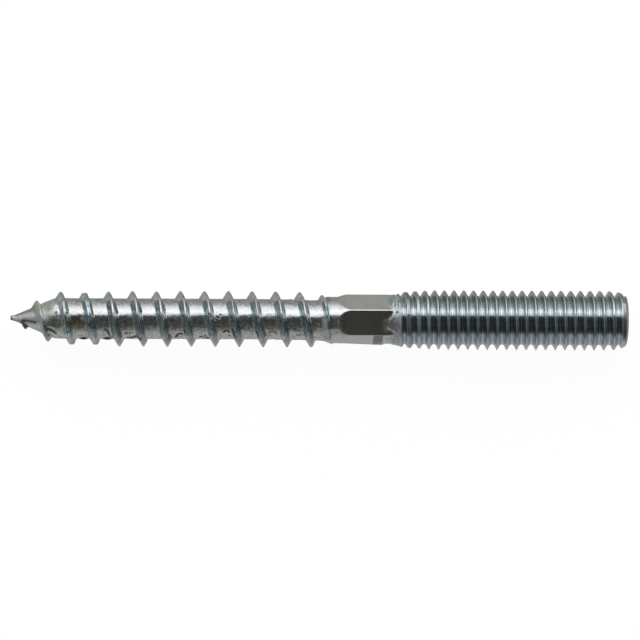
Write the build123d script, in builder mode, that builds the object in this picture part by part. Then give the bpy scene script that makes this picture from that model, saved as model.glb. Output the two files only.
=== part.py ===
from build123d import *
from build123d.topology import SkipClean
import os
from math import cos, radians, sin

# Hanger bolt M8 x 80: wood screw thread on one end, hex drive section in the
# middle, M8 machine thread on the other end.  One cold-formed steel piece.
#
# Frame: X runs along the bolt's axis, the wood point at -X and the machine
# thread at +X.  X = 0 is the inner end of the full machine thread, as deep as
# a nut runs.  +Z is up, and a hex flat faces up.  Millimetres.

# ---------------------------------------------------------------- dimensions
TIP_X = -55.0            # blunt end of the gimlet point
END_X = 24.3             # free end of the machine thread
BLANK_R = 2.985          # drawn wire left between wood thread and hex
CORE_R = 2.60            # root of the wood thread
POINT_R = 0.33           # blunt end of the point

WOOD_PITCH = 3.08
WOOD_CREST_R = 3.60
WOOD_PHASE_X = -38.58    # a wood crest crosses the upper line (phi = 0) here
WOOD_CREST_FLAT = 0.13   # width of the crest land
WOOD_FOOT = 1.16         # width of the ridge where it meets the core
RIDGE_SINK = 0.22        # how far the ridge is rooted below the core surface

METRIC_PITCH = 1.25
METRIC_CREST_R = 3.87    # M8, zinc plated
METRIC_ROOT_R = 3.10
METRIC_PHASE_X = -0.154  # a machine crest crosses the upper line here
CREST_LAND = 0.17        # crest flat, about an eighth of the pitch
ROOT_LAND = 0.18

HEX_AF = 5.70            # across flats
HEX_R = 3.25             # radius over the rounded corners
HEX_START_X = -12.9      # run-out of the flats on the blank
HEX_FLAT_X = -11.9       # flats reach their full depth
HEX_END_X = -5.9         # end of the drive section

# --------------------------------------------------------------- point helper


def on_helix(x0, pitch, turn, dx, r):
    """Point of a right-hand thread: turn counts along +X from x0, where the
    crest crosses the upper line; dx is the place across the thread form."""
    phi = radians(-360.0 * turn)
    return Vector(x0 + pitch * turn + dx, r * sin(phi), r * cos(phi))


def helical_solid(x0, pitch, first, last, form, per_turn=24):
    """Closed solid whose section at each turn is form(turn) = [(dx, r), ...]."""
    count = int(round((last - first) * per_turn)) + 1
    steps = [i / (count - 1) for i in range(count)]
    sections = [
        [on_helix(x0, pitch, t, dx, r) for dx, r in form(t)]
        for t in (first + (last - first) * step for step in steps)
    ]
    corners = len(sections[0])
    lines = [
        Edge.make_spline([s[j] for s in sections], parameters=steps)
        for j in range(corners)
    ]
    walls = [
        Face.make_surface_from_curves(lines[j], lines[(j + 1) % corners])
        for j in range(corners)
    ]
    caps = [Face(Wire.make_polygon(s, close=True)) for s in (sections[0], sections[-1])]
    return Solid(Shell(walls + caps))


def helical_run(x0, pitch, first, last, form, length=0.5):
    """The same, as a row of solids each about length turns long, end to end."""
    count = int(round((last - first) / length))
    ends = [first + (last - first) * i / count for i in range(count + 1)]
    return [helical_solid(x0, pitch, a, b, form) for a, b in zip(ends, ends[1:])]


def interpolate(table, x):
    """Straight-line interpolation in a table of (x, value) rows."""
    if x <= table[0][0]:
        return table[0][1]
    for (x0, v0), (x1, v1) in zip(table, table[1:]):
        if x <= x1:
            return v0 + (v1 - v0) * (x - x0) / (x1 - x0)
    return table[-1][1]


# ------------------------------------------------------------- wood end: core
CORE_PROFILE = [
    (TIP_X, 0.0),
    (TIP_X, 0.18),
    (TIP_X + 0.14, POINT_R),
    (TIP_X + 0.55, 0.37),
    (TIP_X + 5.60, CORE_R),
    (TIP_X + 39.6, CORE_R),
    (TIP_X + 40.9, BLANK_R),
    (HEX_FLAT_X, BLANK_R),
]
with BuildPart() as shank:
    with BuildSketch(Plane.XY) as half_section:
        with BuildLine():
            Polyline(*CORE_PROFILE, (HEX_FLAT_X, 0.0), close=True)
        make_face()
    revolve(axis=Axis.X)

# crest radius of the ridge along the bolt: it grows out of the point, is full
# over the shank, and runs out on the blank
WOOD_CREST = [
    (TIP_X + 0.9, 0.35),
    (TIP_X + 1.35, 0.72),
    (TIP_X + 1.85, 1.36),
    (TIP_X + 3.34, 2.34),
    (TIP_X + 4.86, 2.95),
    (TIP_X + 6.34, 3.42),
    (TIP_X + 7.77, 3.34),
    (TIP_X + 9.40, 3.38),
    (TIP_X + 10.9, 3.34),
    (TIP_X + 12.5, 3.50),
    (TIP_X + 14.1, 3.55),
    (TIP_X + 16.0, WOOD_CREST_R),
    (TIP_X + 37.6, WOOD_CREST_R),
    (TIP_X + 38.7, 3.38),
    (TIP_X + 40.1, 3.24),
    (TIP_X + 41.2, 3.06),
    (TIP_X + 42.0, 2.90),
]


def wood_form(turn):
    x = WOOD_PHASE_X + WOOD_PITCH * turn
    core = interpolate(CORE_PROFILE[3:], x)
    crest = interpolate(WOOD_CREST, x)
    height = max(crest - core, 0.0)
    full = min(height / (WOOD_CREST_R - CORE_R), 1.0)
    land = WOOD_CREST_FLAT / 2
    foot = land + (WOOD_FOOT / 2 - land) * full
    slope = (WOOD_FOOT / 2 - land) / (WOOD_CREST_R - CORE_R)
    foot_out = foot + slope * RIDGE_SINK
    left = max(interpolate(CORE_PROFILE[3:], x - foot_out) - RIDGE_SINK, 0.08)
    right = max(interpolate(CORE_PROFILE[3:], x + foot_out) - RIDGE_SINK, 0.08)
    return [(-foot_out, left), (-land, crest), (land, crest), (foot_out, right)]


wood_first = (TIP_X + 1.0 - WOOD_PHASE_X) / WOOD_PITCH
wood_last = (TIP_X + 41.7 - WOOD_PHASE_X) / WOOD_PITCH
wood_ridge = helical_run(WOOD_PHASE_X, WOOD_PITCH, wood_first, wood_last, wood_form)
with BuildPart() as wood_end:
    add(shank.part)
    add(wood_ridge)

# ------------------------------------------------------------- hex drive section
# round envelope of the upset section, then six flats pressed into it; each flat
# rises out of the blank in a short arc at its wood end
HEX_ENVELOPE = [
    (HEX_START_X - 0.3, BLANK_R),
    (HEX_START_X, BLANK_R),
    (HEX_START_X + 0.45, 3.08),
    (HEX_START_X + 0.95, 3.20),
    (HEX_START_X + 1.5, HEX_R),
    (HEX_END_X, HEX_R),
]
FLAT_Z = HEX_AF / 2
with BuildPart() as flat_cutter:
    with BuildSketch(Plane.XZ):
        with BuildLine():
            flat_line = Line((HEX_END_X + 1, FLAT_Z), (HEX_FLAT_X, FLAT_Z))
            run_out = TangentArc(
                (HEX_FLAT_X, FLAT_Z),
                (HEX_START_X - 0.2, FLAT_Z + 0.30),
                tangent=(-1, 0),
            )
            Polyline(
                run_out @ 1,
                (HEX_START_X - 0.2, 4.5),
                (HEX_END_X + 1, 4.5),
                (HEX_END_X + 1, FLAT_Z),
            )
        make_face()
    extrude(amount=3, both=True)
with BuildPart() as hex_drive:
    with BuildSketch(Plane.XY):
        with BuildLine():
            Polyline(
                (HEX_START_X - 0.3, 0.0), *HEX_ENVELOPE, (HEX_END_X, 0.0), close=True
            )
        make_face()
    revolve(axis=Axis.X)
    for side in range(6):
        add(flat_cutter.part.rotate(Axis.X, 60 * side), mode=Mode.SUBTRACT)

# --------------------------------------------------------------- machine thread
# eight 45-degree sectors, so that the crest is a true cylinder in short lengths;
# the cylinder ends half-way between crests in every sector
SECTORS = 8
STUD_START_X = -7.2
COLLAR_X = -5.9
with SkipClean(), BuildPart() as stud:
    for k in range(SECTORS):
        phi_mid = 45.0 * k - 22.5
        # groove centre nearest the ends of the cylindrical crest in this sector
        shift = METRIC_PHASE_X + METRIC_PITCH * (0.5 - phi_mid / 360.0)
        inner = shift
        outer = shift + METRIC_PITCH * 17
        plane = Plane(origin=(0, 0, 0), x_dir=(1, 0, 0), z_dir=(0, -cos(radians(45.0 * k)), sin(radians(45.0 * k))))
        with BuildSketch(plane):
            with BuildLine():
                Polyline(
                    (STUD_START_X, 0.0),
                    (STUD_START_X, 2.60),
                    (-6.85, 2.80),
                    (COLLAR_X, 3.25),
                    (-5.25, 3.33),
                    (-4.4, 3.56),
                    (-2.0, 3.77),
                    (inner - METRIC_PITCH, METRIC_CREST_R - 0.02),
                    (inner, METRIC_CREST_R),
                    (outer, METRIC_CREST_R),
                    (outer + METRIC_PITCH, METRIC_CREST_R - 0.02),
                    (23.2, 3.70),
                    (23.8, 3.50),
                    (24.1, 3.30),
                    (END_X, 3.02),
                    (END_X, 0.0),
                    close=True,
                )
            make_face()
        revolve(axis=Axis.X, revolution_arc=45, clean=False)


def groove_form(turn):
    x = METRIC_PHASE_X + METRIC_PITCH * (turn + 0.5)
    root = METRIC_ROOT_R + 0.4 * max(-5.0 - x, 0.0)
    half_top = (METRIC_PITCH - CREST_LAND) / 2
    half_root = ROOT_LAND / 2
    flank = (half_top - half_root) / (METRIC_CREST_R - METRIC_ROOT_R)
    half_mouth = half_top + 0.12 * flank
    return [
        (-half_mouth, METRIC_CREST_R + 0.12),
        (-half_root, root),
        (half_root, root),
        (half_mouth, METRIC_CREST_R + 0.12),
        (half_mouth, METRIC_CREST_R + 0.5),
        (-half_mouth, METRIC_CREST_R + 0.5),
    ]


groove = helical_run(
    METRIC_PHASE_X + METRIC_PITCH / 2, METRIC_PITCH, -4.9, 20.5, groove_form, 1.0
)
with SkipClean(), BuildPart() as machine_end:
    add(stud.part, clean=False)
    add(groove, mode=Mode.SUBTRACT, clean=False)

# ------------------------------------------------------------------ whole bolt
with SkipClean(), BuildPart() as hanger_bolt:
    add(wood_end.part, clean=False)
    add(hex_drive.part, clean=False)
    add(machine_end.part, clean=False)

os.makedirs("parts", exist_ok=True)
hanger_bolt.part.label = "hanger_bolt"
export_step(hanger_bolt.part, "parts/hanger_bolt.step")
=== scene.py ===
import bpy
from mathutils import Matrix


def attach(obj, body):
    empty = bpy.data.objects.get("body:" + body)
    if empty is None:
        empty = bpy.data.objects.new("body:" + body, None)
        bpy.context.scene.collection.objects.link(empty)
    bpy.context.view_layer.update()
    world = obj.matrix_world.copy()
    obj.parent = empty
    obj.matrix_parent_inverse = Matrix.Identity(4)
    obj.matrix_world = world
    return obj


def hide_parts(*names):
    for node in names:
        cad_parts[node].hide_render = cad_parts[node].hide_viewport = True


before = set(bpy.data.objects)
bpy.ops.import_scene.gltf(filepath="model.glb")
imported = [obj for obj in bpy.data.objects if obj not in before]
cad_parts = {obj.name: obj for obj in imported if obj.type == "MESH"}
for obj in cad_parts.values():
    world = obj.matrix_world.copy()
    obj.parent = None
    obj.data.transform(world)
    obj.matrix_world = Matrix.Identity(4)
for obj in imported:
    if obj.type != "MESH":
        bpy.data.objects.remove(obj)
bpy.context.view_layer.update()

import math

import bpy
import numpy as np
from mathutils import Matrix, Vector, noise

MM = 0.001

# ----------------------------------------------------------------------------
# The bolt's surface is one radius field r(phi, x) in millimetres: x runs along
# the axis, phi is measured from +Z towards +Y.  s = x + 55 is the distance from
# the point's tip.
# ----------------------------------------------------------------------------
TIP = -55.0
END = 24.3
WOOD_P, WOOD_X0 = 3.08, -38.58
METRIC_P, METRIC_X0 = 1.25, -0.154
LEAN = 8.0                      # the viewer's side, degrees from +Z towards +Y


def lerp(table, v):
    t = np.asarray(table, float)
    return np.interp(v, t[:, 0], t[:, 1])


def smooth_table(table, v):
    """Monotone-ish smooth interpolation: cosine blend between the rows."""
    t = np.asarray(table, float)
    v = np.clip(v, t[0, 0], t[-1, 0])
    i = np.clip(np.searchsorted(t[:, 0], v, side="right") - 1, 0, len(t) - 2)
    f = (v - t[i, 0]) / (t[i + 1, 0] - t[i, 0])
    f = f * f * (3 - 2 * f)
    return t[i, 1] * (1 - f) + t[i + 1, 1] * f


def smax(a, b, k):
    h = np.maximum(k - np.abs(a - b), 0.0)
    return np.maximum(a, b) + h * h / (4 * k)


def smin(a, b, k):
    return -smax(-a, -b, k)


def step(a, b, v):
    f = np.clip((v - a) / (b - a), 0, 1)
    return f * f * (3 - 2 * f)


def bump1(v, centre, width):
    return np.exp(-(((v - centre) / width) ** 2))


def ang(phi, centre):
    """Signed angle from centre, in degrees, -180..180."""
    return (phi - centre + 180.0) % 360.0 - 180.0


# ---------------------------------------------------------------- wood thread
CORE = [(0.0, 0.20), (0.10, 0.30), (0.55, 0.37), (5.35, 2.47), (5.75, 2.59), (6.2, 2.60),
        (39.4, 2.60), (40.1, 2.63), (40.45, 2.74), (40.8, 2.90), (41.15, 2.985), (45.0, 2.985)]
CREST = [(1.10, 0.50), (1.35, 0.75), (1.55, 1.12), (1.90, 1.42), (2.15, 1.50), (2.6, 1.86), (3.34, 2.28),
         (4.86, 3.02), (6.35, 3.40), (7.1, 3.38), (7.89, 3.37), (9.43, 3.29), (10.97, 3.37),
         (12.51, 3.46), (14.05, 3.60), (15.59, 3.54), (17.13, 3.60), (18.67, 3.50),
         (20.21, 3.62), (21.75, 3.58), (23.29, 3.58), (24.83, 3.59), (26.37, 3.59),
         (27.91, 3.62), (29.45, 3.63), (30.99, 3.60), (32.53, 3.64), (34.07, 3.59),
         (35.61, 3.60), (37.15, 3.57), (38.0, 3.52), (38.69, 3.42), (39.5, 3.33),
         (40.23, 3.24), (41.0, 3.10), (41.6, 3.02), (42.0, 2.93), (42.6, 2.80)]
# where the ridge was left blunt: its flanks stand as if for this crest radius
VIRTUAL = [(0.0, 0.30), (1.10, 0.66), (1.9, 1.46), (3.34, 2.32), (4.86, 3.06), (6.0, 3.44),
           (6.9, 3.56), (7.9, 3.64), (9.4, 3.60), (11.0, 3.62), (12.5, 3.62), (14.0, 3.66),
           (36.5, 3.66), (38.0, 3.62), (38.7, 3.58), (39.5, 3.40), (40.2, 3.28), (41.0, 3.13),
           (41.6, 3.04), (42.0, 2.95), (42.6, 2.82)]


def wood_radius(phi, x):
    s = x - TIP
    view = np.radians(phi - 7.4)
    lag = -0.0125 + 0.0475 * np.sin(view) + 0.04 * np.cos(view) + 0.55 * np.exp(-s / 1.8)
    lag = lag - 0.09 * np.maximum(np.sin(view), 0.0) * (1 - step(4.5, 6.5, s))
    lag = lag - 0.07 * np.maximum(s - 38.6, 0.0) ** 2
    lag = lag - (0.05 + 0.03 * np.sin(view)) * step(29.0, 33.0, s) - 0.08 * np.maximum(np.sin(view), 0.0) * step(38.6, 39.6, s)
    t = (x - lag - WOOD_X0) / WOOD_P + phi / 360.0
    k = np.round(t)
    # sharper on the lower side, once past the blunt first turns
    low = np.clip(-np.sin(view), 0, 1) ** 3 * step(13.2, 14.2, s) * (1 - step(36.2, 37.4, s))
    low = low + 0.6 * np.clip(np.sin(view), 0, 1) ** 3 * step(10.5, 12.0, s) * (1 - step(38.0, 39.0, s))
    best = None
    # the blank starts a little earlier on the upper side
    early = (0.10 + 0.42 * np.maximum(np.sin(view), 0.0)) * step(38.5, 39.5, s)
    core = lerp(CORE, s + early)
    for j in (-1, 0, 1):
        d = (t - k - j) * WOOD_P
        sc = s - d
        top = lerp(CREST, sc)
        virtual = np.maximum(lerp(VIRTUAL, sc), top)
        virtual = virtual - low * (virtual - top - 0.012)
        # the flank towards the point is straight, the other one is rounded over
        soft = 0.055 - 0.025 * low
        drop = 1.75 * (np.sqrt(d * d + soft * soft) - soft)
        right = np.maximum(d, 0.0)
        drop_right = (1.40 + 0.45 * low) * (np.sqrt(right * right + soft * soft) - soft) + (1.5 - 1.1 * low) * np.maximum(right - 0.27, 0.0)
        drop = np.where(d > 0, drop_right, drop)
        h = smin(virtual - drop, top, 0.05)
        # the blunt crests near the point keep a shallow seam
        seam = step(6.9, 7.4, sc) * (1 - step(10.2, 10.8, sc))
        h = h - 0.06 * seam * bump1(d, 0.03, 0.07)
        h = np.where(sc < 1.12, 0.0, h)
        fillet = np.where(d > 0, 0.34, 0.14)
        joined = smax(core, h, fillet)
        best = joined if best is None else np.maximum(best, joined)
    return best


# ---------------------------------------------------------------- hex section
FLAT = [(41.0, 3.00), (42.20, 2.992), (42.43, 2.974), (42.82, 2.930), (43.2, 2.885),
        (43.5, 2.862), (43.8, 2.855), (44.2, 2.855), (50.0, 2.855)]
ENVELOPE = [(41.9, 2.985), (42.2, 3.04), (42.43, 3.10), (42.69, 3.17), (42.95, 3.22),
            (43.2, 3.25), (43.5, 3.27), (44.2, 3.28), (48.4, 3.28), (49.0, 3.22), (50.0, 3.22)]
# the lower corner was pressed less full near the wood end and past the tool's edge
LOW_CORNER = [(41.9, 2.985), (42.4, 3.04), (43.3, 3.09), (44.0, 3.11), (45.0, 3.16),
              (46.0, 3.20), (46.6, 3.235), (47.0, 3.27), (47.75, 3.275), (47.88, 3.22),
              (48.05, 3.10), (50.0, 3.10)]


def hex_radius(phi, x):
    s = x - TIP
    a = lerp(FLAT, s)
    env = lerp(ENVELOPE, s)
    low = np.clip(bump1(ang(phi, 272.0), 0, 24) * 1.2, 0, 1)
    env = env * (1 - low) + lerp(LOW_CORNER, s) * low
    delta = np.abs(ang(phi, np.round(phi / 60.0) * 60.0))
    rho = 0.20
    c = (a - rho) / math.cos(math.radians(30))
    dt = np.degrees(np.arctan((a - rho) * math.tan(math.radians(30)) / a))
    th = np.radians(30 - delta)
    arc = c * np.cos(th) + np.sqrt(np.maximum(rho**2 - (c * np.sin(th)) ** 2, 0))
    flat = np.where(delta < dt, a / np.cos(np.radians(delta)), arc)
    body = smin(flat, env, 0.02)
    return body


# collar between the hex and the first machine turn: a cone of revolution
COLLAR = [(47.7, 2.60), (48.2, 2.815), (48.65, 3.03), (49.05, 3.19), (49.45, 3.27),
          (49.9, 3.33), (50.3, 3.42)]
# envelope over the machine crests
OUTER = [(49.0, 3.18), (49.5, 3.28), (49.9, 3.36), (50.15, 3.48), (50.5, 3.585), (51.4, 3.61),
         (51.95, 3.71), (52.6, 3.66), (53.2, 3.78), (53.8, 3.79), (54.5, 3.862), (60.0, 3.868),
         (75.6, 3.868), (76.4, 3.85), (77.0, 3.82), (77.6, 3.765), (78.2, 3.69), (78.6, 3.58),
         (78.9, 3.45), (79.1, 3.32), (79.22, 3.20), (79.28, 3.08), (79.3, 3.0)]
# half width of the crest's flat
LAND = [(49.0, 0.11), (53.0, 0.09), (55.0, 0.074), (75.5, 0.074), (79.3, 0.10)]
# root radius, by the place of the groove's own centre
ROOT = [(49.45, 3.42), (49.7, 3.24), (49.95, 3.12), (50.1, 3.09), (77.8, 3.09), (79.3, 3.10)]


def drift(phi, x):
    """How far the rolled thread has wandered from its true place, in mm."""
    view = np.radians(phi - 7.4)
    quarter = np.maximum(np.sin(view), 0.0) * np.maximum(np.cos(view), 0.0)
    return -0.060 + 0.0048 * (x - TIP - 52.0) + 0.026 * np.sin(view) + 0.15 * quarter


def metric_radius(phi, x):
    s = x - TIP
    t = (x - drift(phi, x) - METRIC_X0) / METRIC_P + phi / 360.0
    k = np.round(t)
    d = np.abs(t - k) * METRIC_P
    outer = lerp(OUTER, s)
    # the crests came out sharper on the lower side
    low = np.clip(-np.sin(np.radians(phi - 7.4)), 0, 1) ** 3 * step(50.5, 52.5, s) * (1 - step(77.0, 78.5, s))
    high = np.clip(np.sin(np.radians(phi - 7.4)), 0, 1) ** 3
    land = lerp(LAND, s) * (1 - 0.85 * low - 0.40 * high)
    side = np.where(t - k >= 0, 0.5, -0.5)
    root = lerp(ROOT, s - (t - k - side) * METRIC_P)
    soft = 0.045 - 0.020 * low
    over = d - land
    drop = (1.73 + 0.22 * low) * 0.5 * (over + np.sqrt(over * over + soft * soft))
    body = smax(3.868 + 0.045 * low - drop, root + 0.045 * low, 0.22 + 0.08 * low)
    # near the first turns the flanks keep their place and the land widens
    body = smin(body, outer, 0.05)
    return body


def radius(phi, x):
    phi = np.asarray(phi, float) % 360.0
    x = np.asarray(x, float)
    s = x - TIP
    wood = wood_radius(phi, x)
    hexa = hex_radius(phi, x)
    collar = lerp(COLLAR, s)
    hexa = smax(hexa, np.where(s > 47.0, collar, 0.0), 0.03)
    metric = metric_radius(phi, x)
    w1 = step(42.02, 42.10, s)
    r = wood * (1 - w1) + hexa * w1
    w2 = step(49.30, 49.62, s)
    r = r * (1 - w2) + metric * w2
    return r


# ----------------------------------------------------------------- the mesh
def row_angles():
    rows = set(round(5.0 * i, 3) for i in range(72))
    for k in range(6):
        c = 30.0 + 60.0 * k
        for o in (1.4, 3.0):
            rows.add(round(c - o, 3))
            rows.add(round(c + o, 3))
    return np.array(sorted(rows))


PHI = row_angles()
N = len(PHI)
verts_phi, verts_x = [], []          # parameter place of each vertex
faces = []


def new_ring(xs):
    """A ring of vertices at x (scalar or per row); returns their indices."""
    base = len(verts_x)
    xs = np.broadcast_to(xs, (N,))
    verts_phi.extend(PHI.tolist())
    verts_x.extend(xs.tolist())
    return [base + i for i in range(N)]


def add_face(ids):
    out = []
    for v in ids:
        if not out or out[-1] != v:
            out.append(v)
    if len(out) > 1 and out[0] == out[-1]:
        out.pop()
    if len(set(out)) >= 3:
        faces.append(out)


def join_rings(a, b):
    for i in range(N):
        j = (i + 1) % N
        add_face([a[i], b[i], b[j], a[j]])


def helical_zone(left, right, x_left, x_right, x0, pitch, offsets, tol, wander=None):
    """Columns that follow the thread, clipped by the rings left and right."""
    offs = sorted(o % pitch for o in offsets)
    m = len(offs)
    k0 = math.floor((x_left - x0) / pitch) - 1
    k1 = math.ceil((x_right - x0) / pitch) + 2
    cols = [x0 + pitch * k + o for k in range(k0, k1) for o in offs]
    cols = np.array(cols)
    grid = np.full((len(cols), N + 1), -1, int)
    for j, u in enumerate(cols):
        for i in range(N):
            x = u - pitch * PHI[i] / 360.0
            if wander is not None:
                x += wander(PHI[i], x)
            if x <= x_left + tol:
                grid[j, i] = left[i]
            elif x >= x_right - tol:
                grid[j, i] = right[i]
            else:
                grid[j, i] = len(verts_x)
                verts_phi.append(float(PHI[i]))
                verts_x.append(float(x))
    for j in range(len(cols)):          # row at 360 degrees is row 0, a turn back
        grid[j, N] = grid[j - m, 0] if j >= m else left[0]
    for j in range(len(cols) - 1):
        for i in range(N):
            add_face([grid[j, i], grid[j + 1, i], grid[j + 1, i + 1], grid[j, i + 1]])


def both(vals):
    return [v for v in vals] + [-v for v in vals if v > 0]


WOOD_OFFS = [-1.35, -1.15, -0.96, -0.80, -0.69, -0.61, -0.54, -0.46, -0.37, -0.27, -0.18, -0.11, -0.055,
             0.0, 0.055, 0.11, 0.18, 0.26, 0.34, 0.42, 0.49, 0.56, 0.63, 0.71, 0.80, 0.92, 1.08, 1.26, 1.45]
METRIC_OFFS = both([0, 0.065, 0.105, 0.15, 0.24, 0.34, 0.43, 0.51, 0.57]) + [0.625]
X_TIP, X_WOOD, X_HEX, X_MET = TIP + 0.75, TIP + 42.0, TIP + 49.75, TIP + 78.95

# blunt point
tip_rings = [new_ring(TIP + d) for d in (0.0, 0.03, 0.08, 0.16, 0.28, 0.42, 0.58, 0.75)]
for a, b in zip(tip_rings, tip_rings[1:]):
    join_rings(a, b)
ring_wood = new_ring(X_WOOD)
helical_zone(tip_rings[-1], ring_wood, X_TIP, X_WOOD, WOOD_X0 + 0.04, WOOD_P, WOOD_OFFS, 0.02)
hex_x = []
x = X_WOOD
while x < X_HEX - 0.06:
    sx = x - TIP
    fine = sx < 44.2 or sx > 47.6
    x += 0.07 if fine else 0.13
    hex_x.append(x)
hex_x = [v for v in hex_x if v < X_HEX - 0.03]
prev = ring_wood
for v in hex_x:
    ring = new_ring(v)
    join_rings(prev, ring)
    prev = ring
ring_hex = new_ring(X_HEX)
join_rings(prev, ring_hex)
ring_met = new_ring(X_MET)
helical_zone(ring_hex, ring_met, X_HEX, X_MET, METRIC_X0, METRIC_P, METRIC_OFFS, 0.012, drift)
prev = ring_met
end_rings = []
for d in (79.04, 79.12, 79.19, 79.24, 79.28, 79.30):
    ring = new_ring(TIP + d)
    join_rings(prev, ring)
    prev = ring
rim = prev

phi = np.array(verts_phi)
xx = np.array(verts_x)
rr = radius(phi, xx)
rr[tip_rings[0]] = 0.20

# end face: rings of falling radius, slightly dished
disc = []
rim_r = rr[rim]
for f, dz in ((0.93, 0.0), (0.8, 0.0), (0.6, -0.02), (0.35, -0.035), (0.12, -0.04)):
    base = len(xx)
    disc.append([base + i for i in range(N)])
    phi = np.concatenate([phi, PHI])
    xx = np.concatenate([xx, np.full(N, END + dz)])
    rr = np.concatenate([rr, rim_r * f])
for a, b in zip([rim] + disc, disc):
    join_rings(a, b)
last = disc[-1]
centre_id = len(xx)
phi = np.append(phi, 0.0); xx = np.append(xx, END - 0.04); rr = np.append(rr, 0.0)
for i in range(N):
    add_face([last[i], centre_id, last[(i + 1) % N]])
tip_id = len(xx)
phi = np.append(phi, 0.0); xx = np.append(xx, TIP); rr = np.append(rr, 0.0)
first = tip_rings[0]
for i in range(N):
    add_face([first[(i + 1) % N], tip_id, first[i]])

# ------------------------------------------------ rolling marks in the surface
s = xx - TIP
P = np.radians(phi)
co = np.stack([xx, rr * np.sin(P), rr * np.cos(P)], axis=1)


def field_noise(points, scale, seed):
    """Smooth 3-D noise at the given cell size, one value per point."""
    off = Vector((seed * 17.31, seed * 5.77, seed * 9.13))
    return np.array([noise.noise(Vector(p) / scale + off) for p in points.tolist()])


n_wave = field_noise(co, 0.9, 1)
n_long = field_noise(co * np.array([0.35, 1, 1]), 0.7, 2)
n_broad = field_noise(co, 2.6, 3)
shank = step(1.0, 3.0, s) * (1 - step(42.2, 43.0, s))
stud = step(49.6, 50.6, s)
n_small = field_noise(co, 0.42, 5)
wave = 0.014 * n_wave + 0.010 * n_long + 0.014 * n_broad + 0.011 * n_small
rr = rr + shank * wave + (1 - shank) * (1 - stud) * 0.0025 * n_broad
rr = rr + stud * (0.003 * n_wave + 0.003 * n_broad)
# angle from the viewer's side, and small faults: burrs, welts, dents, the fold at the point
phi_p = (phi - 7.4 + 180.0) % 360.0 - 180.0
n_collar = field_noise(co, 0.38, 4)
collar_zone = step(48.7, 49.2, s) * (1 - step(50.0, 50.4, s))
rr = rr + 0.035 * collar_zone * n_collar


def spot(s0, a0, ws, wa):
    return np.exp(-(((s - s0) / ws) ** 2) - (((phi_p - a0 + 180) % 360 - 180) / wa) ** 2)


rr = rr + 0.07 * spot(49.2, 88, 0.12, 22) + 0.06 * spot(49.78, 88, 0.14, 24) - 0.10 * spot(49.48, 88, 0.12, 26)
rr = rr + 0.14 * spot(9.42, -86, 0.42, 9) + 0.14 * spot(12.45, -86, 0.48, 9) + 0.07 * spot(15.8, -80, 0.5, 7)
rr = rr + 0.10 * spot(35.95, 84, 0.13, 16) + 0.09 * spot(27.5, 72, 0.10, 12)
rr = rr - 0.09 * spot(24.5, -86, 0.10, 14) - 0.07 * spot(33.7, -86, 0.14, 14) - 0.06 * spot(21.9, -84, 0.16, 14)
rr = rr + 0.06 * spot(41.15, -88, 0.16, 18)
fold = step(1.35, 1.75, s) * (1 - step(3.5, 4.2, s)) * step(-15.0, -22.0, phi_p) * (1 - step(-48.0, -80.0, phi_p))
rr = rr - (0.05 + 0.05 * np.clip(s - 1.3, 0, 1)) * fold
live = rr > 0.05
rr = np.where(live, rr, 0.0)
lim = 3.87
rr = np.minimum(rr, lim)
co = np.stack([xx, rr * np.sin(P), rr * np.cos(P)], axis=1)

# the point is bent a little towards +Y
bend = np.clip((4.5 - s) / 4.5, 0, 1) ** 2
co[:, 1] += 0.03 * bend
# the run-out and the neck stand a little off the axis
def sag(s):
    return 0.06 * step(32.0, 37.5, s) * (1 - step(41.9, 43.0, s)) + 0.06 * step(37.5, 38.5, s) * (1 - step(39.9, 40.6, s))


co[:, 1] -= sag(s)

co = np.maximum(np.minimum(co, [END, 3.87, 3.87]), [TIP, -3.87, -3.87])

mesh = bpy.data.meshes.new("hanger_bolt_surface")
mesh.from_pydata((co * MM).tolist(), [], faces)
mesh.validate()
mesh.update()
for p in mesh.polygons:
    p.use_smooth = True
bolt = bpy.data.objects.new("hanger_bolt_surface", mesh)
bpy.context.scene.collection.objects.link(bolt)
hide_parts("hanger_bolt")
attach(bolt, "root")
tris = sum(len(p.vertices) - 2 for p in mesh.polygons)
print("bolt mesh:", len(mesh.vertices), "vertices,", tris, "triangles")


# ----------------------------------------------------------------- materials
def node(tree, kind, **props):
    n = tree.nodes.new(kind)
    for k, v in props.items():
        setattr(n, k, v)
    return n


def ramp_node(tree, stops, interpolation="LINEAR"):
    r = node(tree, "ShaderNodeValToRGB")
    cr = r.color_ramp
    cr.interpolation = interpolation
    while len(cr.elements) > 1:
        cr.elements.remove(cr.elements[-1])
    first = True
    for pos, col in stops:
        if not isinstance(col, tuple):
            col = (col, col, col)
        if first:
            e = cr.elements[0]
            e.position = pos
            first = False
        else:
            e = cr.elements.new(pos)
        e.color = (*col, 1)
    return r


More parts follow.
